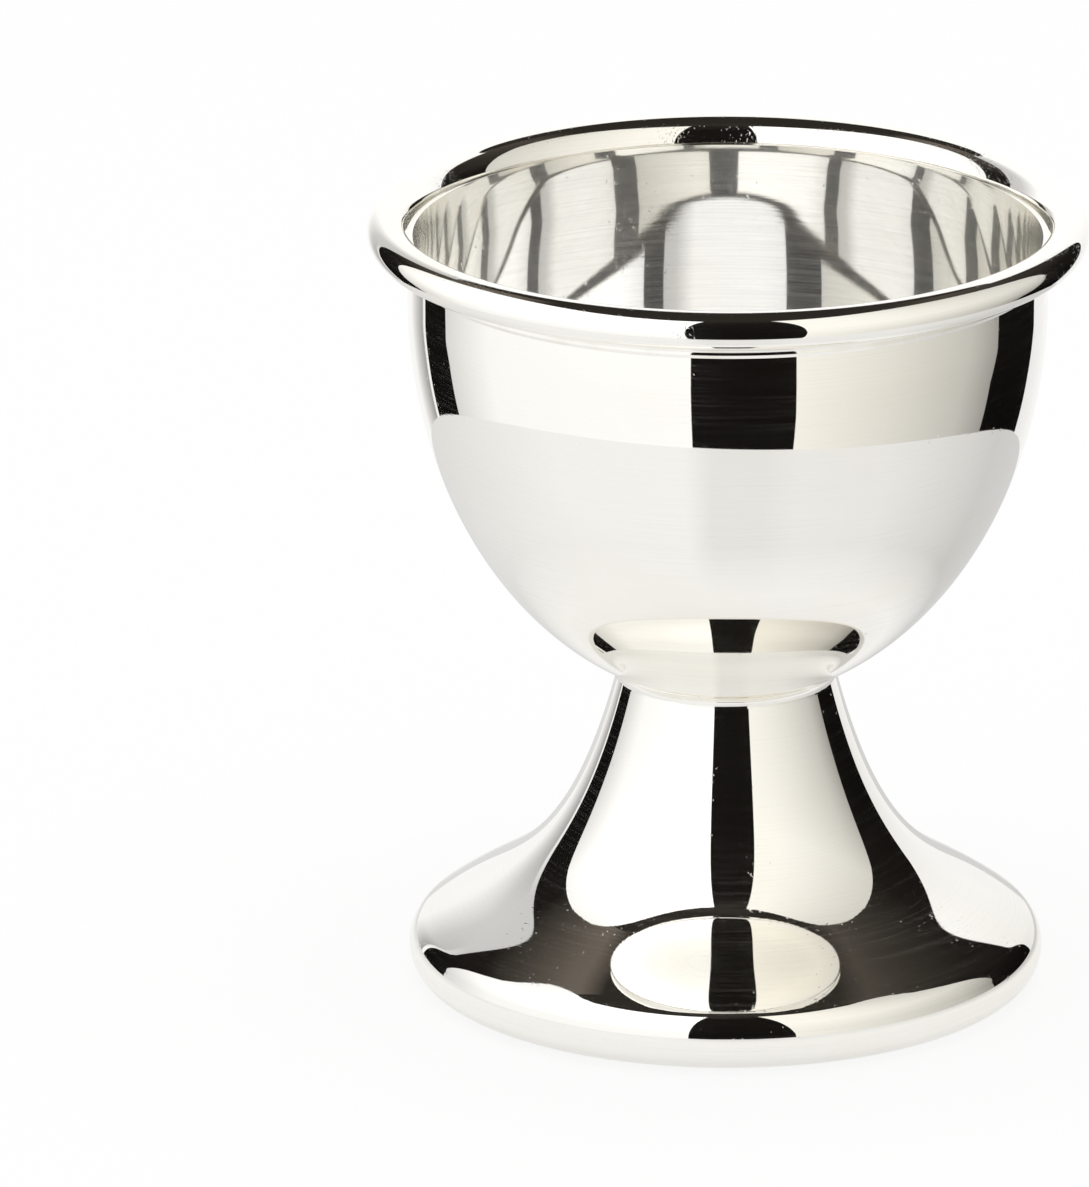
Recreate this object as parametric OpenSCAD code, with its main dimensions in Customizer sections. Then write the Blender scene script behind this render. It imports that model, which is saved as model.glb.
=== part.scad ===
// Egg cup: a spun bowl with a wired rim on a hollow, flared foot.
// Millimetres, +Z up. The origin is the centre of the face that rests on the table.
// Each piece is a section drawn in the X-Y plane, radius by height, and turned about the axis.

/* [Overall] */
// Height from the table to the top of the rim wire
height = 53.4; // [44:0.1:64]

/* [Bowl] */
// Outer diameter of the bowl's straight wall
bowl_d = 42.6; // [40:0.1:44]
// Thickness of the bowl's sheet
bowl_wall = 0.4; // [0.35:0.05:0.7]
// Height of the bowl's lowest outer point above the table
bowl_base_h = 20; // [16:0.1:26]
// Height of the wall's straight stretch, between the rounded part and the lip's flare
bowl_straight_h = 2.8; // [0.5:0.1:8]
// Depth of the lip below the top of the rim wire
lip_drop = 1.6; // [1.4:0.05:1.9]
// Height over which the wall flares out to the lip
lip_flare_h = 1.4; // [1:0.1:2.5]
// How far the inside of the wall flares out at the lip
lip_flare_in = 0.05; // [0.02:0.01:0.2]
// How far the outside of the wall flares out, up against the wire
lip_flare_out = 0.25; // [0.2:0.01:0.4]

/* [Rim wire] */
// Diameter of the wire round the mouth
rim_wire_d = 2.6; // [2.4:0.05:3]
// Distance from the bowl's straight wall out to the nearest side of the wire
rim_wire_gap = 0.1; // [0.05:0.01:0.12]
// Turn up from level, on the wire's inner side, to where it eases into a flatter slope, in degrees
rim_slope_turn = 38; // [30:1:46]
// Radius of the flatter slope, which runs down onto the lip
rim_slope_r = 2.5; // [2:0.1:3]

/* [Foot] */
// Outer diameter of the foot
foot_d = 42.5; // [36:0.1:50]
// Thickness of the foot's sheet
foot_wall = 0.8; // [0.5:0.05:1]
// Outer diameter of the foot's narrow end, where it meets the bowl
neck_d = 14.5; // [11:0.1:18]
// Lean of the foot's wall from upright at the neck, in degrees
neck_lean = 14; // [10:0.5:18]
// Length over which the foot keeps the neck's lean
neck_reach = 14.6; // [10:0.1:17]
// Radius of the rolled edge of the foot, to its outside
edge_r = 2.3; // [1.6:0.05:2.8]
// Turn of the rolled edge up from level to where the flare runs into it, in degrees
edge_turn = 54; // [45:1:65]
// Length over which the flare keeps the slope it has at the rolled edge
edge_reach = 6.4; // [3:0.1:8]
// Turn of the rolled edge from level, under and back up inside, in degrees
curl_turn = 150; // [110:1:190]
// Depth of the flat that is rubbed on the underside of the rolled edge
land_depth = 0.08; // [0.04:0.01:0.14]

/* [Solder] */
// Height of the solder's small ridge under the rim wire
ridge_h = 0.1; // [0.05:0.01:0.3]
// How far the ridge stands out from the bowl's wall
ridge_out = 0.15; // [0.08:0.01:0.25]
// Height of the slope that runs from the ridge down to the wall
ridge_slope_h = 0.25; // [0.1:0.01:0.4]
// Radius of the hollow fillet between the ridge and the wire
rim_fillet_r = 0.7; // [0.6:0.05:1]
// Radius of the hollow fillet between the foot and the bowl
neck_fillet_r = 0.8; // [0.5:0.05:1.2]

/* [Hidden] */

// Sides of every circle, and steps along each curve that a formula draws
$fn = 96;
round_steps = 32;
lip_steps = 8;
flare_steps = 28;
edge_steps = 32;

// How far solder reaches into its neighbours before it is trimmed to them
solder_root = 0.3;

silver = [0.88, 0.87, 0.84];
satin_silver = [0.80, 0.79, 0.77];
solder_silver = [0.92, 0.91, 0.87];

bowl_r = bowl_d / 2;
lip_z = height - lip_drop;
lip_start_z = lip_z - lip_flare_h;
shoulder_z = lip_start_z - bowl_straight_h;
bowl_round_h = shoulder_z - bowl_base_h;

wire_r = rim_wire_d / 2;
wire_ring_r = bowl_r + rim_wire_gap + wire_r;
wire_z = height - wire_r;

neck_r = neck_d / 2;
neck_z = bowl_height_at(neck_r);
edge_ring_r = foot_d / 2 - edge_r;
edge_z = edge_r - land_depth;

// Point at an angle on a circle
function on_circle(centre, r, angle) = centre + r * [cos(angle), sin(angle)];

// Height of the bowl's rounded outside at a given radius
function bowl_height_at(r) = shoulder_z - bowl_round_h * sqrt(1 - pow(r / bowl_r, 2));

// Slope angle of the bowl's rounded outside at a given radius
function bowl_slope_at(r) = atan(bowl_round_h * r / pow(bowl_r, 2) / sqrt(1 - pow(r / bowl_r, 2)));

// Quarter ellipse from the axis up to the shoulder
function round_part(r, h) = [
    for (i = [0 : round_steps]) [r * sin(90 * i / round_steps), shoulder_z - h * cos(90 * i / round_steps)]
];

// Easy flare from the straight wall out to the lip
function lip_part(r, out) = [
    for (i = [0 : lip_steps]) [r + out * pow(i / lip_steps, 2), lip_start_z + lip_flare_h * i / lip_steps]
];

function backwards(points) = [for (i = [len(points) - 1 : -1 : 0]) points[i]];

// The foot's flare is a cubic curve: it leaves the neck along the neck's lean
// and runs into the rolled edge along the edge's own tangent.
neck_point = [neck_r, neck_z];
neck_way = [sin(neck_lean), -cos(neck_lean)];
edge_point = on_circle([edge_ring_r, edge_z], edge_r, edge_turn);
edge_way = [-sin(edge_turn), cos(edge_turn)];
flare_points = [
    neck_point,
    neck_point + neck_reach * neck_way,
    edge_point + edge_reach * edge_way,
    edge_point
];

function cubic(p, t) =
    pow(1 - t, 3) * p[0]
    + 3 * t * pow(1 - t, 2) * p[1]
    + 3 * pow(t, 2) * (1 - t) * p[2]
    + pow(t, 3) * p[3];

// Way along the cubic curve, not scaled to one
function cubic_way(p, t) =
    pow(1 - t, 2) * (p[1] - p[0])
    + 2 * t * (1 - t) * (p[2] - p[1])
    + pow(t, 2) * (p[3] - p[2]);

// Points along the flare, each moved in towards the axis by a depth
function flare(depth) = [
    for (i = [0 : flare_steps])
        let (t = i / flare_steps, way = cubic_way(flare_points, t))
        cubic(flare_points, t) + depth * [way[1], -way[0]] / norm(way)
];

// Points round the rolled edge, from the flare, under, and up inside
function rolled_edge(r) = [
    for (i = [1 : edge_steps])
        on_circle([edge_ring_r, edge_z], r, edge_turn - (edge_turn + curl_turn) * i / edge_steps)
];

// Section of everything inside the bowl's outer skin, which other pieces are cut to
module bowl_filled() {
    polygon(concat(
        [[0, lip_z]],
        [[0, bowl_base_h]],
        round_part(bowl_r, bowl_round_h),
        lip_part(bowl_r, lip_flare_out)
    ));
}

// Section of the wire: round, and on its inner side eased into a flatter slope down to the lip
module wire_section() {
    wire_centre = [wire_ring_r, wire_z];
    slope_way = [-cos(rim_slope_turn), sin(rim_slope_turn)];
    slope_centre = wire_centre + (wire_r - rim_slope_r) * slope_way;
    slope_far = slope_centre + 2 * rim_slope_r * slope_way;
    translate(wire_centre) circle(r = wire_r);
    intersection() {
        translate(slope_centre) circle(r = rim_slope_r);
        polygon([wire_centre, slope_far, [slope_far[0], lip_z], [wire_ring_r, lip_z]]);
    }
}

// Section of the foot's sheet, run up past the neck by a rise
module foot_sheet(rise) {
    top_out = neck_point - rise * neck_way;
    top_in = top_out - foot_wall * [cos(neck_lean), sin(neck_lean)];
    polygon(concat(
        [top_in, top_out],
        flare(0),
        rolled_edge(edge_r),
        backwards(rolled_edge(edge_r - foot_wall)),
        backwards(flare(foot_wall))
    ));
}

// Bowl: one spun sheet, straight at the top, round below, with a thin flared lip
module bowl() {
    color(satin_silver)
    rotate_extrude()
    difference() {
        polygon(concat(
            round_part(bowl_r, bowl_round_h),
            lip_part(bowl_r, lip_flare_out),
            backwards(lip_part(bowl_r - bowl_wall, lip_flare_in)),
            backwards(round_part(bowl_r - bowl_wall, bowl_round_h - bowl_wall))
        ));
        wire_section();
    }
}

// Rim wire: a ring of wire soldered outside the lip, and dressed down to it inside
module rim_wire() {
    color(silver)
    rotate_extrude()
    wire_section();
}

// Rim solder: fills the corner under the wire, and ends in a small ridge on the wall
module rim_solder() {
    ridge_r = bowl_r + ridge_out;
    fillet_z = wire_z - wire_r - rim_fillet_r;
    fillet_ring_r = ridge_r + rim_fillet_r;
    color(solder_silver)
    rotate_extrude()
    difference() {
        polygon([
            [bowl_r - solder_root, fillet_z - ridge_h - ridge_slope_h],
            [bowl_r, fillet_z - ridge_h - ridge_slope_h],
            [ridge_r, fillet_z - ridge_h],
            [ridge_r, fillet_z],
            [fillet_ring_r, fillet_z],
            [fillet_ring_r, lip_z],
            [bowl_r - solder_root, lip_z]
        ]);
        translate([fillet_ring_r, fillet_z]) circle(r = rim_fillet_r);
        bowl_filled();
        wire_section();
    }
}

// Foot: one spun sheet, flared like a trumpet and rolled under at its edge
module foot() {
    color(silver)
    rotate_extrude()
    difference() {
        intersection() {
            foot_sheet(bowl_wall + foot_wall);
            square([foot_d, height]);
        }
        bowl_filled();
    }
}

// Neck solder: a small hollow fillet in the corner between the foot and the bowl
module neck_solder() {
    slope = bowl_slope_at(neck_r);
    bowl_way = [cos(slope), sin(slope)];
    corner = 90 - neck_lean + slope;
    leg = neck_fillet_r / tan(corner / 2);
    centre_way = slope - corner / 2;
    centre_gap = neck_fillet_r / sin(corner / 2);
    color(solder_silver)
    rotate_extrude()
    difference() {
        polygon([
            neck_point + leg * neck_way,
            neck_point + leg * bowl_way,
            neck_point + leg * bowl_way + solder_root * [-bowl_way[1], bowl_way[0]],
            neck_point - solder_root * bowl_way,
            neck_point + leg * neck_way + solder_root * [neck_way[1], -neck_way[0]]
        ]);
        translate(on_circle(neck_point, centre_gap, centre_way)) circle(r = neck_fillet_r);
        bowl_filled();
        foot_sheet(bowl_wall + foot_wall);
    }
}

bowl();
rim_wire();
rim_solder();
foot();
neck_solder();
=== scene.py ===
import math

import bpy
from mathutils import Matrix, Vector


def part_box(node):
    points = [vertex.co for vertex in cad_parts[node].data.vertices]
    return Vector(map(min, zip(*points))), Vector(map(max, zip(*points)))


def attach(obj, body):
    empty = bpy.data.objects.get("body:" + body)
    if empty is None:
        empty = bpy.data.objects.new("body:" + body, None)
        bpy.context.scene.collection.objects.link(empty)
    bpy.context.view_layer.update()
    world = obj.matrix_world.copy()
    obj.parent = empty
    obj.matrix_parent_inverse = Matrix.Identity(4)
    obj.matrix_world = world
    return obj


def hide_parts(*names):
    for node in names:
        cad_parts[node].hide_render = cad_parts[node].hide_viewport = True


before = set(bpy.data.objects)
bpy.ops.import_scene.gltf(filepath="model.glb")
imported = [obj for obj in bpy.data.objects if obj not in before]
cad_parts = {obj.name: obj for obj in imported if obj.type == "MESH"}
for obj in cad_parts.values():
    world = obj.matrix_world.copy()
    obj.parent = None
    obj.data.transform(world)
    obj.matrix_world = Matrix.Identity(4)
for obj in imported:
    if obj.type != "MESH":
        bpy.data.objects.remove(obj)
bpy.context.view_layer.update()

# Egg cup of silver plate: spun bowl, wired rim, hollow trumpet foot, two solder seams.
# Metres, +Z up. Every piece is a section, radius by height, turned about the axis.

mm = 0.001
tiny = 1e-7              # metres; points closer than this are one point
turnSteps = 384          # faces round every piece
cornerSteps = 6          # along every softened corner
sharpFrom = 40           # degrees between two faces, from which their edge shows
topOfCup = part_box("rim_wire")[1].z
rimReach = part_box("rim_wire")[1].x


# Camera

camera = {
    "distance": 1200 * mm,        # from the middle of the cup
    "elevation": 18.03,           # degrees above the table
    "middleHeight": 26.5 * mm,    # point of the axis that the next two values place
    "middlePixelX": 726.7,        # where that point lies in the picture
    "middlePixelY": 596.4,
    "pixelsPerMetre": 14951.7,    # at the middle of the cup
    "imageWidth": 1089,
    "imageHeight": 1187,
    "sensor": 36.0,               # millimetres
}


def makeCamera():
    c = camera
    focalPixels = c["pixelsPerMetre"] * c["distance"]
    rise = math.radians(c["elevation"])
    place = Vector((0, -math.cos(rise), math.sin(rise))) * c["distance"]
    place.z += c["middleHeight"]
    across = (c["middlePixelX"] - c["imageWidth"] / 2) / focalPixels
    upward = (c["imageHeight"] / 2 - c["middlePixelY"]) / focalPixels
    # The camera looks past the cup, so that the cup lies off the middle of the picture
    reach = math.sqrt(1 + across ** 2 + upward ** 2)
    tilt = math.atan(upward)
    pitch = tilt + math.asin(reach * math.sin(rise) * math.cos(tilt))
    yaw = -math.atan2(across, math.cos(pitch) + upward * math.sin(pitch))
    forward = Vector((math.sin(yaw) * math.cos(pitch), math.cos(yaw) * math.cos(pitch), -math.sin(pitch)))
    right = Vector((math.cos(yaw), -math.sin(yaw), 0))
    up = right.cross(forward)
    data = bpy.data.cameras.new("camera")
    data.sensor_width = c["sensor"]
    data.lens = focalPixels * c["sensor"] / c["imageHeight"]
    obj = bpy.data.objects.new("camera", data)
    bpy.context.collection.objects.link(obj)
    turn = Matrix((right, up, -forward)).transposed().to_4x4()
    obj.matrix_world = Matrix.Translation(place) @ turn
    bpy.context.scene.camera = obj


# Outlines

def arc(centre, radius, start, end, steps):
    angles = [math.radians(start + (end - start) * i / steps) for i in range(steps + 1)]
    return [Vector((centre[0] + radius * math.cos(a), centre[1] + radius * math.sin(a))) for a in angles]


def softened(points, radius):
    # Rounds every inner corner of an open line
    result = [points[0]]
    for before, corner, after in zip(points, points[1:], points[2:]):
        back, ahead = (before - corner), (after - corner)
        half = back.angle(ahead) / 2
        leg = min(radius / math.tan(half), back.length / 2, ahead.length / 2)
        first, last = corner + back.normalized() * leg, corner + ahead.normalized() * leg
        for i in range(cornerSteps + 1):
            t = i / cornerSteps
            result.append(first * (1 - t) ** 2 + corner * 2 * t * (1 - t) + last * t ** 2)
    return result + [points[-1]]


def joined(parts):
    # The points of one closed outline, and the number of the material that follows each
    outline, paint = [], []
    for points, number in parts:
        for p in points:
            if not outline or (p - outline[-1]).length > tiny:
                outline.append(p)
                paint.append(number)
    return outline, paint


def rowsRound(outline, wobble):
    # A row of points round the axis for each point of the outline
    verts, rows = [], []
    for r, z in outline:
        if r < tiny:      # on the axis, one point stands for the whole row
            rows.append([len(verts)] * (turnSteps + 1))
            verts.append((0, 0, z))
            continue
        row = []
        for i in range(turnSteps):
            a = 2 * math.pi * i / turnSteps
            outR, outZ = wobble(a, r, z) if wobble else (r, z)
            row.append(len(verts))
            verts.append((outR * math.sin(a), -outR * math.cos(a), outZ))
        rows.append(row + row[:1])
    return verts, rows


def turned(name, parts, materials, wobble=None):
    # parts: stretches of one closed outline, each with the number of its material
    outline, paint = joined(parts)
    sides = list(zip(outline, outline[1:] + outline[:1]))
    run = [0.0]      # length along the outline
    for a, b in sides:
        run.append(run[-1] + (b - a).length)
    verts, rows = rowsRound(outline, wobble)
    faces, spots, numbers = [], [], []
    for k in range(len(outline)):
        low, high = rows[k], rows[(k + 1) % len(rows)]
        if low[0] == low[1] and high[0] == high[1]:
            continue
        for i in range(turnSteps):
            corners = [
                (low[i], i, k), (low[i + 1], i + 1, k),
                (high[i + 1], i + 1, k + 1), (high[i], i, k + 1),
            ]
            if low[0] == low[1]:
                corners.pop(0)
            elif high[0] == high[1]:
                corners.pop(3)
            faces.append([v for v, _, _ in corners])
            spots += [(u / turnSteps, run[w]) for _, u, w in corners]
            numbers.append(paint[k])
    mesh = bpy.data.meshes.new(name)
    mesh.from_pydata(verts, [], faces)
    layer = mesh.uv_layers.new(name="turning")      # u runs round, v along the section in metres
    layer.data.foreach_set("uv", [n for spot in spots for n in spot])
    for m in materials:
        mesh.materials.append(m)
    mesh.polygons.foreach_set("material_index", numbers)
    mesh.polygons.foreach_set("use_smooth", [True] * len(faces))
    # An outline may run either way round, and its faces have to look outward
    area = sum(a[0] * b[1] - b[0] * a[1] for a, b in sides)
    if area < 0:
        mesh.flip_normals()
    mesh.set_sharp_from_angle(angle=math.radians(sharpFrom))
    obj = bpy.data.objects.new(name, mesh)
    bpy.context.collection.objects.link(obj)
    return obj


# Silver

def link(tree, source, target):
    tree.links.new(source, target)


def newMaterial(name):
    material = bpy.data.materials.new(name)
    material.use_nodes = True
    tree = material.node_tree
    return material, tree, tree.nodes["Principled BSDF"]


def maths(tree, operation, first, second):
    node = tree.nodes.new("ShaderNodeMath")
    node.operation = operation
    for socket, value in zip(node.inputs, (first, second)):
        if isinstance(value, (int, float)):
            socket.default_value = value
        else:
            link(tree, value, socket)
    return node.outputs[0]


def between(tree, value, low, high, toLow=0.0, toHigh=1.0):
    node = tree.nodes.new("ShaderNodeMapRange")
    node.inputs["From Min"].default_value = low
    node.inputs["From Max"].default_value = high
    node.inputs["To Min"].default_value = toLow
    node.inputs["To Max"].default_value = toHigh
    link(tree, value, node.inputs["Value"])
    return node.outputs["Result"]


def position(tree, kind):
    return tree.nodes.new("ShaderNodeTexCoord").outputs[kind]


def split(tree, vector):
    node = tree.nodes.new("ShaderNodeSeparateXYZ")
    link(tree, vector, node.inputs[0])
    return node.outputs


def turningSpace(tree, around, along):
    # Position stretched round the cup: lines drawn in it run the way a lathe or a wheel polishes
    flat, section = split(tree, position(tree, "Object")), split(tree, position(tree, "UV"))
    join = tree.nodes.new("ShaderNodeCombineXYZ")
    link(tree, maths(tree, "MULTIPLY", flat["X"], around), join.inputs["X"])
    link(tree, maths(tree, "MULTIPLY", flat["Y"], around), join.inputs["Y"])
    link(tree, maths(tree, "MULTIPLY", section["Y"], along), join.inputs["Z"])
    return join.outputs[0]


def noise(tree, space, scale=1.0, detail=2.0):
    node = tree.nodes.new("ShaderNodeTexNoise")
    node.inputs["Scale"].default_value = scale
    node.inputs["Detail"].default_value = detail
    link(tree, space, node.inputs["Vector"])
    return node.outputs["Fac"]


def objectSpace(tree, turn=(0, 0, 0), stretch=(1, 1, 1)):
    mapping = tree.nodes.new("ShaderNodeMapping")
    mapping.inputs["Rotation"].default_value = turn
    mapping.inputs["Scale"].default_value = stretch
    link(tree, position(tree, "Object"), mapping.inputs["Vector"])
    return mapping.outputs[0]


def relief(tree, height, depth, under=None, sunk=False):
    # One relief on top of another; sunk marks go into the metal
    node = tree.nodes.new("ShaderNodeBump")
    node.inputs["Distance"].default_value = depth
    node.invert = sunk
    link(tree, height, node.inputs["Height"])
    if under is not None:
        link(tree, under, node.inputs["Normal"])
    return node.outputs[0]


def polishMarks(tree, look):
    # Polishing lines that run round the piece, more of them in some patches than in others
    lines = noise(tree, turningSpace(tree, look["lineAround"], look["lineAlong"]), detail=look["lineDetail"])
    lines = between(tree, lines, look["lineFrom"], look["lineTo"])
    patches = noise(tree, objectSpace(tree), look["patchScale"])
    patches = between(tree, patches, *look["patchRange"], look["patchLow"])
    # Scratches from use, in slanting directions
    scratches = 0.0
    for turn in look["scratchTurns"]:
        scratch = noise(tree, objectSpace(tree, turn, look["scratchStretch"]), detail=1.0)
        scratch = between(tree, scratch, look["scratchFrom"], look["scratchFrom"] + look["scratchEdge"])
        scratches = maths(tree, "MAXIMUM", scratches, scratch)
    scratches = maths(tree, "MULTIPLY", scratches, look["scratchAmount"])
    return maths(tree, "MAXIMUM", maths(tree, "MULTIPLY", lines, patches), scratches)


def dents(tree, look):
    # Small dents from use, in clusters
    spots = noise(tree, objectSpace(tree), look["dentScale"], 1.0)
    spots = between(tree, spots, look["dentFrom"], look["dentFrom"] + look["dentEdge"])
    clusters = noise(tree, objectSpace(tree), look["dentScale"] / look["clusterSize"])
    clusters = between(tree, clusters, look["clusterFrom"], look["clusterFrom"] + look["clusterEdge"])
    return maths(tree, "MULTIPLY", spots, clusters)


def silver(name, look):
    material, tree, mirror = newMaterial(name)
    marks = polishMarks(tree, look)
    # Hairlines too fine to tell apart cloud the mirror: rough silver is mixed in, most of it in the marks
    cloud = tree.nodes.new("ShaderNodeBsdfPrincipled")
    mix = tree.nodes.new("ShaderNodeMixShader")
    link(tree, between(tree, marks, 0.0, 1.0, look["cloud"], look["markCloud"]), mix.inputs[0])
    link(tree, mirror.outputs[0], mix.inputs[1])
    link(tree, cloud.outputs[0], mix.inputs[2])
    link(tree, mix.outputs[0], tree.nodes["Material Output"].inputs["Surface"])
    # Warm film that polishing leaves behind in patches
    film = tree.nodes.new("ShaderNodeMix")
    film.data_type = "RGBA"
    film.inputs["A"].default_value = (*look["colour"], 1)
    film.inputs["B"].default_value = (*look["film"], 1)
    patches = noise(tree, objectSpace(tree), look["filmScale"], look["filmDetail"])
    link(tree, between(tree, patches, *look["filmRange"]), film.inputs["Factor"])
    # The hand-polished skin isn't quite even, and each mark is a shallow groove
    waves = noise(tree, turningSpace(tree, look["waveAround"], look["waveAlong"]), detail=1.0)
    skin = relief(tree, waves, look["waveDepth"])
    skin = relief(tree, marks, look["grooveDepth"], skin, sunk=True)
    skin = relief(tree, dents(tree, look), look["dentDepth"], skin, sunk=True)
    for shader, roughness in ((mirror, look["roughness"]), (cloud, look["markRoughness"])):
        shader.inputs["Metallic"].default_value = 1.0
        shader.inputs["Roughness"].default_value = roughness
        link(tree, film.outputs["Result"], shader.inputs["Base Color"])
        link(tree, skin, shader.inputs["Normal"])
    return material


mirrorLook = {
    "colour": (0.965, 0.95, 0.908),
    "film": (0.94, 0.915, 0.85),
    "filmScale": 70,         # this and the other scales and stretches are per metre
    "filmDetail": 4.0,
    "filmRange": (0.45, 0.75),
    "roughness": 0.02,
    "markRoughness": 0.35,
    "cloud": 0.004,          # share of rough silver, and the same in the marks
    "markCloud": 0.13,
    "lineAround": 120,
    "lineAlong": 9000,
    "lineDetail": 3.0,
    "lineFrom": 0.48,
    "lineTo": 0.95,
    "patchScale": 90,
    "patchRange": (0.35, 0.65),
    "patchLow": 0.25,        # share of the lines that is left between the patches
    "scratchTurns": [(0.5, 0.9, 0.2), (-0.7, 0.4, 1.1)],
    "scratchStretch": (500, 500, 6500),
    "scratchFrom": 0.78,
    "scratchEdge": 0.03,
    "scratchAmount": 0.6,
    "waveAround": 70,
    "waveAlong": 260,
    "waveDepth": 1.5e-6,     # metres, as the other depths
    "grooveDepth": 0.3e-6,
    "dentScale": 3000,
    "dentFrom": 0.70,
    "dentEdge": 0.08,
    "dentDepth": 4.0e-6,
    "clusterSize": 25,       # as many dents across
    "clusterFrom": 0.48,
    "clusterEdge": 0.14,
}

rimLook = {
    **mirrorLook,
    "dentScale": 5500,
    "dentFrom": 0.62,
    "dentDepth": 2.6e-6,
    "clusterFrom": 0.44,
}

satinLook = {
    **mirrorLook,
    "colour": (0.99, 0.985, 0.965),
    "film": (0.975, 0.96, 0.92),
    "roughness": 0.03,
    "cloud": 0.09,
    "markCloud": 0.30,
    "lineAround": 90,
    "lineAlong": 7000,
    "lineFrom": 0.40,
    "lineTo": 0.85,
    "patchLow": 0.5,
}

spunLook = {
    **satinLook,
    "colour": (0.88, 0.86, 0.82),
    "film": (0.74, 0.70, 0.62),
    "roughness": 0.20,
    "markRoughness": 0.55,
    "cloud": 0.3,
    "markCloud": 0.8,
    "lineAlong": 4200,
    "grooveDepth": 4.0e-6,
}

solderLook = {
    **mirrorLook,
    "film": (0.90, 0.87, 0.80),
    "filmScale": 500,
    "roughness": 0.04,
    "lineAround": 500,
    "lineAlong": 3000,
    "waveAround": 300,
    "waveAlong": 400,
    "waveDepth": 2.5e-6,
}


# Bowl

bowl = {
    "diameter": 42.6 * mm,
    "wall": 0.4 * mm,
    "baseHeight": 20 * mm,
    "straightHeight": 2.8 * mm,
    "lipDrop": 1.6 * mm,          # from the top of the wire
    "lipFlareHeight": 1.4 * mm,
    "lipFlareIn": 0.05 * mm,
    "lipFlareOut": 0.25 * mm,
    "lipShown": 0.7,              # share of the flare that the outside has before the wire covers it
    "lipRound": 0.04 * mm,        # polished corner of the lip
    "lipRoundSteps": 8,
    "lipSteps": 14,
    "roundSteps": 110,
}
bowlRadius = bowl["diameter"] / 2
lipHeight = topOfCup - bowl["lipDrop"]
lipStart = lipHeight - bowl["lipFlareHeight"]
shoulder = lipStart - bowl["straightHeight"]
roundHeight = shoulder - bowl["baseHeight"]


def roundPart(radius, height):
    steps = bowl["roundSteps"]
    angles = [math.pi / 2 * i / steps for i in range(steps + 1)]
    return [Vector((radius * math.sin(a), shoulder - height * math.cos(a))) for a in angles]


def lipPart(radius, out, upTo):
    shares = [upTo * i / bowl["lipSteps"] for i in range(bowl["lipSteps"] + 1)]
    return [Vector((radius + out * s * s, lipStart + bowl["lipFlareHeight"] * s)) for s in shares]


def bowlHeightAt(r):
    return shoulder - roundHeight * math.sqrt(1 - (r / bowlRadius) ** 2)


def bowlSlopeAt(r):
    return math.atan(roundHeight * r / bowlRadius ** 2 / math.sqrt(1 - (r / bowlRadius) ** 2))


def makeBowl(outside, inside):
    innerRadius = bowlRadius - bowl["wall"]
    soft = bowl["lipRound"]
    innerLip = lipPart(innerRadius, bowl["lipFlareIn"], 1 - soft / bowl["lipFlareHeight"])
    cornerMiddle = (innerLip[-1][0] + soft, lipHeight - soft)
    wireSide = wireRing - math.sqrt(wireRadius ** 2 - (wireHeight - lipHeight) ** 2)
    outer = roundPart(bowlRadius, roundHeight) + lipPart(bowlRadius, bowl["lipFlareOut"], bowl["lipShown"])
    # The lip's top runs level from the wire's side to its own polished corner
    top = [Vector((wireSide, lipHeight - soft / 2)), Vector((wireSide, lipHeight))]
    corner = arc(cornerMiddle, soft, 90, 180, bowl["lipRoundSteps"])
    inner = innerLip[::-1] + roundPart(innerRadius, roundHeight - bowl["wall"])[::-1]
    return turned("bowl_dressed", [(outer, 0), (top, 0), (corner, 0), (inner, 1)], [outside, inside])


# Rim wire

rimWire = {
    "diameter": 2.6 * mm,
    "slopeTurn": 38,              # where its inner side eases into a flatter slope
    "slopeRadius": 2.5 * mm,
    "slopeSteps": 40,
    "edgeRound": 0.05 * mm,
    "edgeTakes": 4,               # points of the slope that its rounded edge takes up
    "roundSteps": 96,
}
wireRadius = rimWire["diameter"] / 2
wireRing = rimReach - wireRadius
wireHeight = topOfCup - wireRadius


def makeRimWire(finish):
    turn, slopeRadius = math.radians(rimWire["slopeTurn"]), rimWire["slopeRadius"]
    middle = Vector((wireRing, wireHeight))
    slopeMiddle = middle + (wireRadius - slopeRadius) * Vector((-math.cos(turn), math.sin(turn)))
    start = 180 - rimWire["slopeTurn"]
    end = 180 - math.degrees(math.asin((lipHeight - slopeMiddle.y) / slopeRadius))
    under = 180 + math.degrees(math.asin((wireHeight - lipHeight) / wireRadius))
    slope = arc(slopeMiddle, slopeRadius, start, end, rimWire["slopeSteps"])
    roundSide = arc(middle, wireRadius, under, start + 360, rimWire["roundSteps"])
    taken = rimWire["edgeTakes"]
    edge = softened([slope[-taken], slope[-1], roundSide[0]], rimWire["edgeRound"])
    return turned("rim_wire_dressed", [(slope[:-taken], 0), (edge[:-1], 0), (roundSide[:-1], 0)], [finish])


# Foot

foot = {
    "diameter": 42.5 * mm,
    "wall": 0.8 * mm,
    "neckDiameter": 14.5 * mm,
    "neckLean": 14,
    "neckReach": 14.6 * mm,
    "edgeRadius": 2.3 * mm,
    "edgeTurn": 54,
    "edgeReach": 6.4 * mm,
    "curlTurn": 150,
    "landDepth": 0.08 * mm,
    "flareSteps": 96,
    "edgeSteps": 60,
}
neckRadius = foot["neckDiameter"] / 2
neck = Vector((neckRadius, bowlHeightAt(neckRadius)))
lean = math.radians(foot["neckLean"])
neckWay = Vector((math.sin(lean), -math.cos(lean)))
edgeRing = foot["diameter"] / 2 - foot["edgeRadius"]
edgeHeight = foot["edgeRadius"] - foot["landDepth"]


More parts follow.
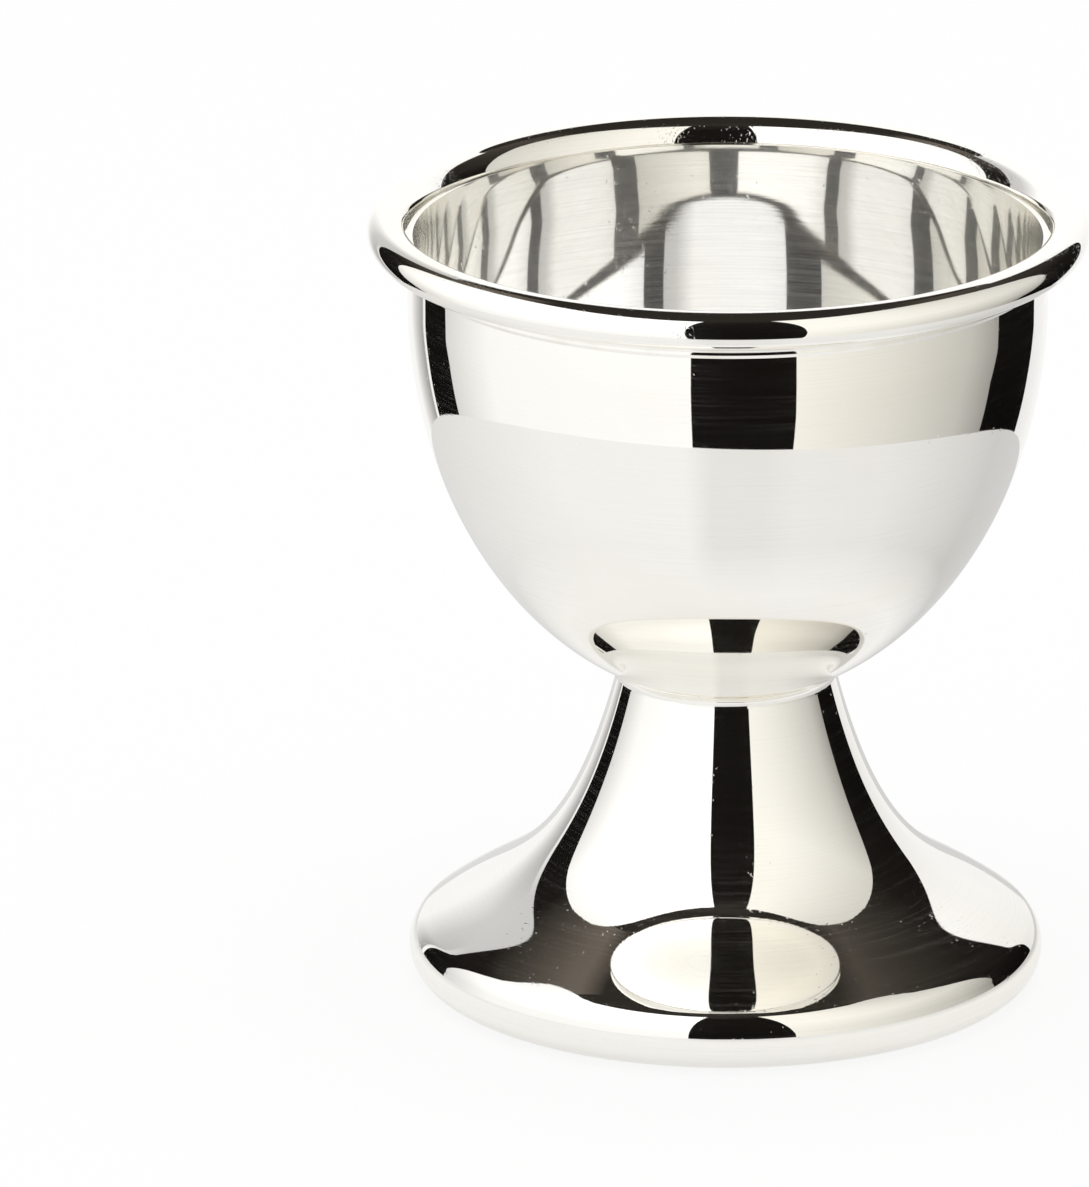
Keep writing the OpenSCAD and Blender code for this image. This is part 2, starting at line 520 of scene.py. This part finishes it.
def flare(depth):
    # Cubic curve from the neck's lean to the rolled edge's own slope, moved inward by a depth
    turn = math.radians(foot["edgeTurn"])
    edge = Vector((edgeRing, edgeHeight)) + foot["edgeRadius"] * Vector((math.cos(turn), math.sin(turn)))
    edgeWay = Vector((-math.sin(turn), math.cos(turn)))
    a, b, c, d = neck, neck + foot["neckReach"] * neckWay, edge + foot["edgeReach"] * edgeWay, edge
    points = []
    for i in range(foot["flareSteps"] + 1):
        t = i / foot["flareSteps"]
        here = (1 - t) ** 3 * a + 3 * t * (1 - t) ** 2 * b + 3 * t * t * (1 - t) * c + t ** 3 * d
        way = (1 - t) ** 2 * (b - a) + 2 * t * (1 - t) * (c - b) + t * t * (d - c)
        points.append(here + depth * Vector((way.y, -way.x)).normalized())
    return points


def rolledEdge(radius):
    # Turned under and up inside, with the flat that it stands on
    whole = arc((edgeRing, edgeHeight), radius, foot["edgeTurn"], -foot["curlTurn"], foot["edgeSteps"])
    return [Vector((r, max(z, 0.0))) for r, z in whole]


def makeFoot(outside, underside):
    inner = [p for p in flare(foot["wall"]) if p.y < bowlHeightAt(p.x)]
    outer = flare(0) + rolledEdge(foot["edgeRadius"])
    under = rolledEdge(foot["edgeRadius"] - foot["wall"])[::-1] + inner[::-1]
    return turned("foot_dressed", [(outer, 0), (under, 1)], [outside, underside])


# Solder

solder = {
    "ridgeHeight": 0.1 * mm,
    "ridgeOut": 0.15 * mm,
    "ridgeSlope": 0.25 * mm,
    "rimFillet": 0.7 * mm,
    "neckFillet": 0.8 * mm,
    "filletSteps": 16,
    "root": 0.06 * mm,            # how far a seam is sunk into its neighbours
    "rootsInWire": 4,             # so many times as far up into the wire
    "rootsInCorner": 2,           # and into the corner between bowl and foot
    "corner": 0.04 * mm,
    "neckRipple": 0.03 * mm,
    "rimRipple": 0.005 * mm,
    "rippleShare": 0.4,
    # Waves round the seam, strength and start in radians
    "ripples": [(3, 1.0, 0.6), (7, 0.6, 2.1), (17, 0.35, 0.0), (41, 0.2, 0.0)],
}


def ripple(amount):
    # Solder runs a little unevenly round its seam
    def move(a, r, z):
        wave = sum(strength * math.sin(waves * a + start) for waves, strength, start in solder["ripples"])
        shift = amount * wave * solder["rippleShare"]
        return r + shift, z + shift
    return move


def makeRimSolder(finish):
    s = solder
    ridge = bowlRadius + s["ridgeOut"]
    filletHeight = wireHeight - wireRadius - s["rimFillet"]
    low = filletHeight - s["ridgeHeight"]
    wall = [
        Vector((bowlRadius - s["root"], low - s["ridgeSlope"])),
        Vector((bowlRadius, low - s["ridgeSlope"])),
        Vector((ridge, low)),
        Vector((ridge, filletHeight)),
    ]
    hollow = arc((ridge + s["rimFillet"], filletHeight), s["rimFillet"], 180, 90, s["filletSteps"])
    top = Vector((hollow[-1].x, wireHeight - wireRadius + s["rootsInWire"] * s["root"]))
    back = Vector((bowlRadius + s["root"], lipStart + bowl["lipFlareHeight"] / 2))
    parts = [(softened(wall, s["corner"]), 0), (hollow, 0), ([top, back], 0)]
    return turned("rim_solder_dressed", parts, [finish], ripple(s["rimRipple"]))


def makeNeckSolder(finish):
    s = solder
    slope = bowlSlopeAt(neckRadius)
    bowlWay = Vector((math.cos(slope), math.sin(slope)))
    corner = math.pi / 2 - lean + slope
    leg = s["neckFillet"] / math.tan(corner / 2)
    middle = slope - corner / 2
    centre = neck + s["neckFillet"] / math.sin(corner / 2) * Vector((math.cos(middle), math.sin(middle)))
    hollow = arc(centre, s["neckFillet"], 180 + foot["neckLean"], 90 + math.degrees(slope), s["filletSteps"])
    intoBowl = s["root"] * Vector((-bowlWay.y, bowlWay.x))
    intoFoot = s["root"] * Vector((neckWay.y, -neckWay.x))
    inward = [
        neck + leg * bowlWay + intoBowl,
        neck - s["rootsInCorner"] * s["root"] * bowlWay + intoBowl,
        neck + leg * neckWay + intoFoot,
    ]
    return turned("neck_solder_dressed", [(hollow, 0), (inward, 0)], [finish], ripple(s["neckRipple"]))


# Studio

studio = {
    "floorSize": 6.0,
    "floorDrop": 0.02 * mm,
    "floorColour": (1.0, 1.0, 0.995),
    "floorShare": 0.84,           # share of the floor's tone that is its own pale glow
    "floorShareMirrored": 0.55,   # and as the silver shows it, with more of its own shading
    # The floor's glow as the silver shows it is painted light and shade: brighter close to the foot, dimmer
    # on some sides far out
    "floorMirrored": 0.90,        # strength of the glow as the silver shows it, times these:
    "floorNearGlow": 1.10,        # close to the foot
    "floorNear": (28 * mm, 44 * mm),      # from the axis, where the near glow gives way to the far one
    # far out, by the way round from the back, over the left side, the front and the right side; the dips are
    # painted shade
    "floorGlows": [
        (0, 0.5), (0.2, 0.78), (0.33, 0.98), (0.46, 1.0), (0.485, 0.77),
        (0.535, 0.77), (0.57, 0.86), (0.66, 0.81), (0.82, 0.36), (1, 0.5),
    ],
    "ringMiddle": (-4 * mm, 3 * mm),
    # The cards and flags only glow, and only the silver shows them
    "ringRadius": 96.7 * mm,      # white cards and dark flags stand in a ring round the cup
    "ringHeight": 240 * mm,
    "ringSteps": 48,
    "flagsBehind": 1.004,         # flags stand just behind the cards
    "cornerPower": 4,             # how squarely a card's top turns down at its far side
    "ceiling": 241 * mm,
    "ceilingReach": 1.01,         # of the ring's radius
    # Tint and strength of the faint painted light on the dark flags
    "flagTint": (1.0, 0.86, 0.72),
    "topGlow": 0.025,
    "lampSize": 0.7,
    "lampHeight": 0.8,
    "lampPower": 1.9,
    "worldGlow": 0.75,
    "mirrorings": 12,             # light goes to and fro inside the bowl
}

# Edges are (height, near side, far side), in degrees round the ring from the front; left is below zero.
# A card's glows are (share of its width, strength), low on it and high on it, and blend gives the shares of
# the ring's height between which one becomes the other. Its top falls from height to corner.
# The cards are no lamps: they only glow, and where their glows fall off, low near the floor and towards some
# of their sides, that is painted shade
cards = {
    "left": {
        "edges": [(0, -8.9, -110), (14 * mm, -8.9, -110), (24 * mm, -8.9, -112), (60 * mm, -8.9, -114)],
        "height": 240 * mm, "corner": 110 * mm,
        "lowGlows": [(0, 1.05), (0.74, 1.0), (1, 0.72)],
        "highGlows": [(0, 1.35), (0.8, 1.25), (1, 1.0)],
        "blend": (0.09, 0.28),
    },
    "right": {
        "tint": (1, 0.98, 0.925),
        "edges": [(0, 23.8, 99), (14 * mm, 23.8, 99), (24 * mm, 23.5, 101.5), (60 * mm, 23.0, 104)],
        "height": 240 * mm, "corner": 110 * mm,
        "lowGlows": [(0, 0.95), (0.4, 0.77), (0.8, 0.55), (1, 0.33)],
        "highGlows": [(0, 1.05), (0.2, 1.03), (0.5, 0.91), (1, 0.68)],
        "blend": (0.09, 0.28),
    },
    "back": {
        "edges": [(0, 129, 231), (12 * mm, 129, 231), (35 * mm, 131.5, 229.5)],
        "height": 145 * mm, "corner": 145 * mm,
        "lowGlows": [(0, 0.85), (0.2, 0.95), (0.8, 0.97), (0.97, 0.35), (0.98, 1), (1, 1)],
        "highGlows": [(0, 1.0), (0.2, 1.08), (0.75, 1.08), (0.9, 0.64), (1, 0.6)],
        "blend": (0.06, 0.27),
    },
}

# A flag is a dark sheet that stands for the unlit room; its glows are (share of the ring's height,
# strength), a faint painted light
flags = {
    "slot": {
        "edges": [(0, -15, 30)],
        "glows": [(0, 0.006), (0.7, 0.008), (1, 0.02)],
    },
    "right": {
        "edges": [(0, 92, 138)],
        "glows": [(0, 0.003), (0.3, 0.01), (0.5, 0.035), (0.75, 0.07), (1, 0.025)],
    },
    "left": {
        "edges": [(0, 223, 256)],
        "glows": [(0, 0.004), (0.35, 0.01), (0.7, 0.13), (0.8, 0.14), (1, 0.025)],
    },
}


def drawn(tree, value, points):
    # A curve drawn through points, with straight stretches
    node = tree.nodes.new("ShaderNodeFloatCurve")
    link(tree, value, node.inputs["Value"])
    node.mapping.use_clip = False
    curve = node.mapping.curves[0]
    while len(curve.points) < len(points):
        curve.points.new(0.5, 0.5)
    for point, spot in zip(curve.points, points):
        point.location = spot
        point.handle_type = "VECTOR"
    node.mapping.update()
    return node.outputs[0]


def mixed(tree, first, second, share):
    # Goes from the first to the second as the share goes from 0 to 1
    rest = maths(tree, "MULTIPLY", first, maths(tree, "SUBTRACT", 1.0, share))
    return maths(tree, "ADD", rest, maths(tree, "MULTIPLY", second, share))


def glowing(name, tint):
    # A surface that only glows, and the socket of its strength
    material, tree, shader = newMaterial(name)
    tree.nodes.remove(shader)
    light = tree.nodes.new("ShaderNodeEmission")
    light.inputs["Color"].default_value = (*tint, 1)
    link(tree, light.outputs[0], tree.nodes["Material Output"].inputs["Surface"])
    return material, tree, light.inputs["Strength"]


# A dark sheet for the unlit room, whose faint glow by height is painted light
def flagMaterial(name, glows):
    material, tree, strength = glowing(name, studio["flagTint"])
    upward = split(tree, position(tree, "UV"))["Y"]
    link(tree, drawn(tree, upward, glows), strength)
    return material


def cardMaterial(name, card):
    # The strength across the card changes from its low part to its high part; its dimmer and brighter
    # stretches are painted shade and light
    material, tree, strength = glowing(name, card.get("tint", (1, 1, 1)))
    across = split(tree, position(tree, "UV"))
    low = drawn(tree, across["X"], card["lowGlows"])
    high = drawn(tree, across["X"], card["highGlows"])
    link(tree, mixed(tree, low, high, between(tree, across["Y"], *card["blend"])), strength)
    return material


def addStage(name, verts, faces, material, spots=None, hidden=True):
    mesh = bpy.data.meshes.new(name)
    mesh.from_pydata(verts, [], faces)
    if spots:
        mesh.uv_layers.new(name="across").data.foreach_set("uv", spots)
    mesh.materials.append(material)
    obj = bpy.data.objects.new(name, mesh)
    bpy.context.collection.objects.link(obj)
    if hidden:      # cards and flags show only in the silver
        obj.visible_camera = False
        obj.visible_diffuse = False
        obj.visible_shadow = False


def flatSheet(name, middle, half, z, material, hidden=True):
    x, y = middle
    verts = [
        (x - half, y - half, z), (x + half, y - half, z),
        (x + half, y + half, z), (x - half, y + half, z),
    ]
    addStage(name, verts, [(0, 1, 2, 3)], material, hidden=hidden)


def standing(name, edges, tops, material, out=1.0):
    # A sheet that follows the ring: its two sides at each height, then on up to its tops from side to side
    steps = len(tops) - 1
    middle, radius = studio["ringMiddle"], studio["ringRadius"] * out
    rows = [(near, far, [height] * (steps + 1)) for height, near, far in edges]
    rows.append((*edges[-1][1:], tops))
    verts, spots, faces, corners = [], [], [], []
    for near, far, heights in rows:
        for i, z in enumerate(heights):
            a = math.radians(near + (far - near) * i / steps)
            verts.append((middle[0] + radius * math.sin(a), middle[1] - radius * math.cos(a), z))
            spots.append((i / steps, z / studio["ringHeight"]))
    for row in range(len(rows) - 1):
        for i in range(steps):
            low = row * (steps + 1) + i
            faces.append((low, low + 1, low + steps + 2, low + steps + 1))
            corners += [n for v in faces[-1] for n in spots[v]]
    addStage(name, verts, faces, material, corners)


def seen(tree, rays):
    return maths(tree, "MAXIMUM", rays["Is Camera Ray"], rays["Is Transmission Ray"])


def floorGlow(tree):
    # Painted shade on the floor as the silver shows it, a little, more on some sides than on others; painted
    # light close to the foot
    flat = split(tree, position(tree, "Object"))
    distance = tree.nodes.new("ShaderNodeVectorMath")
    distance.operation = "LENGTH"
    link(tree, position(tree, "Object"), distance.inputs[0])
    way = maths(tree, "ARCTAN2", flat["X"], maths(tree, "MULTIPLY", flat["Y"], -1.0))
    far = drawn(tree, between(tree, way, -math.pi, math.pi), studio["floorGlows"])
    share = between(tree, distance.outputs["Value"], *studio["floorNear"])
    glow = mixed(tree, studio["floorNearGlow"], far, share)
    return maths(tree, "MULTIPLY", glow, studio["floorMirrored"])


def floorMaterial():
    s = studio
    material, tree, shader = newMaterial("pale_floor")
    shader.inputs["Base Color"].default_value = (*s["floorColour"], 1)
    shader.inputs["Roughness"].default_value = 1.0
    shader.inputs["Specular IOR Level"].default_value = 0.0
    rays = tree.nodes.new("ShaderNodeLightPath").outputs
    glow = tree.nodes.new("ShaderNodeEmission")
    mirrored = maths(tree, "MULTIPLY", rays["Is Glossy Ray"], floorGlow(tree))
    link(tree, maths(tree, "MAXIMUM", seen(tree, rays), mirrored), glow.inputs["Strength"])
    mix = tree.nodes.new("ShaderNodeMixShader")
    share = between(tree, rays["Is Glossy Ray"], 0.0, 1.0, s["floorShare"], s["floorShareMirrored"])
    link(tree, share, mix.inputs[0])
    link(tree, shader.outputs[0], mix.inputs[1])
    link(tree, glow.outputs[0], mix.inputs[2])
    link(tree, mix.outputs[0], tree.nodes["Material Output"].inputs["Surface"])
    return material


def makeStudio():
    s = studio
    steps, behind = s["ringSteps"], s["flagsBehind"]
    flatSheet("floor", (0, 0), s["floorSize"] / 2, -s["floorDrop"], floorMaterial(), hidden=False)
    for name, card in cards.items():
        low, fall = card["corner"], card["height"] - card["corner"]
        tops = [low + fall * math.sqrt(1 - (i / steps) ** s["cornerPower"]) for i in range(steps + 1)]
        standing(f"card_{name}", card["edges"], tops, cardMaterial(f"{name}_card", card))
    for name, flag in flags.items():
        tops = [s["ringHeight"]] * (steps + 1)
        standing(f"flag_{name}", flag["edges"], tops, flagMaterial(f"{name}_flag", flag["glows"]), behind)
    # The top flag and the ring above are dark sheets for the unlit ceiling and room, with a faint painted
    # glow
    top, _, topStrength = glowing("top_flag", s["flagTint"])
    topStrength.default_value = s["topGlow"]
    # The ring that closes the gaps stands behind the flags, as they stand behind the cards
    standing("flag_above", [(0, -180, 180)], [s["ringHeight"]] * (4 * steps + 1), top, behind ** 2)
    flatSheet("flag_top", s["ringMiddle"], s["ringRadius"] * s["ceilingReach"], s["ceiling"], top)


def makeLight():
    lamp = bpy.data.lights.new("soft_lamp", "AREA")
    lamp.size = studio["lampSize"]
    lamp.energy = studio["lampPower"]
    obj = bpy.data.objects.new("soft_lamp", lamp)
    obj.location = (0, 0, studio["lampHeight"])
    obj.visible_glossy = False
    bpy.context.collection.objects.link(obj)

    world = bpy.data.worlds.new("studio")
    bpy.context.scene.world = world
    world.use_nodes = True
    tree = world.node_tree
    background = tree.nodes["Background"]
    background.inputs["Color"].default_value = (1, 1, 1, 1)
    rays = tree.nodes.new("ShaderNodeLightPath").outputs
    direct = maths(tree, "MAXIMUM", seen(tree, rays), rays["Is Glossy Ray"])
    link(tree, between(tree, direct, 0.0, 1.0, studio["worldGlow"], 1.0), background.inputs["Strength"])
    bpy.context.scene.view_settings.view_transform = "Standard"
    bpy.context.scene.cycles.glossy_bounces = studio["mirrorings"]


makeCamera()
print("camera placed")
makeStudio()
makeLight()
print("studio built")

mirrorSilver = silver("mirror_silver", mirrorLook)
rimSilver = silver("rim_silver", rimLook)
satinSilver = silver("satin_silver", satinLook)
spunSilver = silver("spun_silver", spunLook)
seamSilver = silver("seam_silver", solderLook)
print("silver mixed")

cup = [
    (makeBowl(mirrorSilver, satinSilver), "bowl", "bowl_silver"),
    (makeRimWire(rimSilver), "rim_wire", "rim_silver"),
    (makeRimSolder(seamSilver), "rim_solder", "solder"),
    (makeFoot(mirrorSilver, spunSilver), "foot", "foot_silver"),
    (makeNeckSolder(seamSilver), "neck_solder", "solder"),
]
for piece, node, slot in cup:
    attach(piece, "root")
    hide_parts(node)
    print("turned", piece.name)
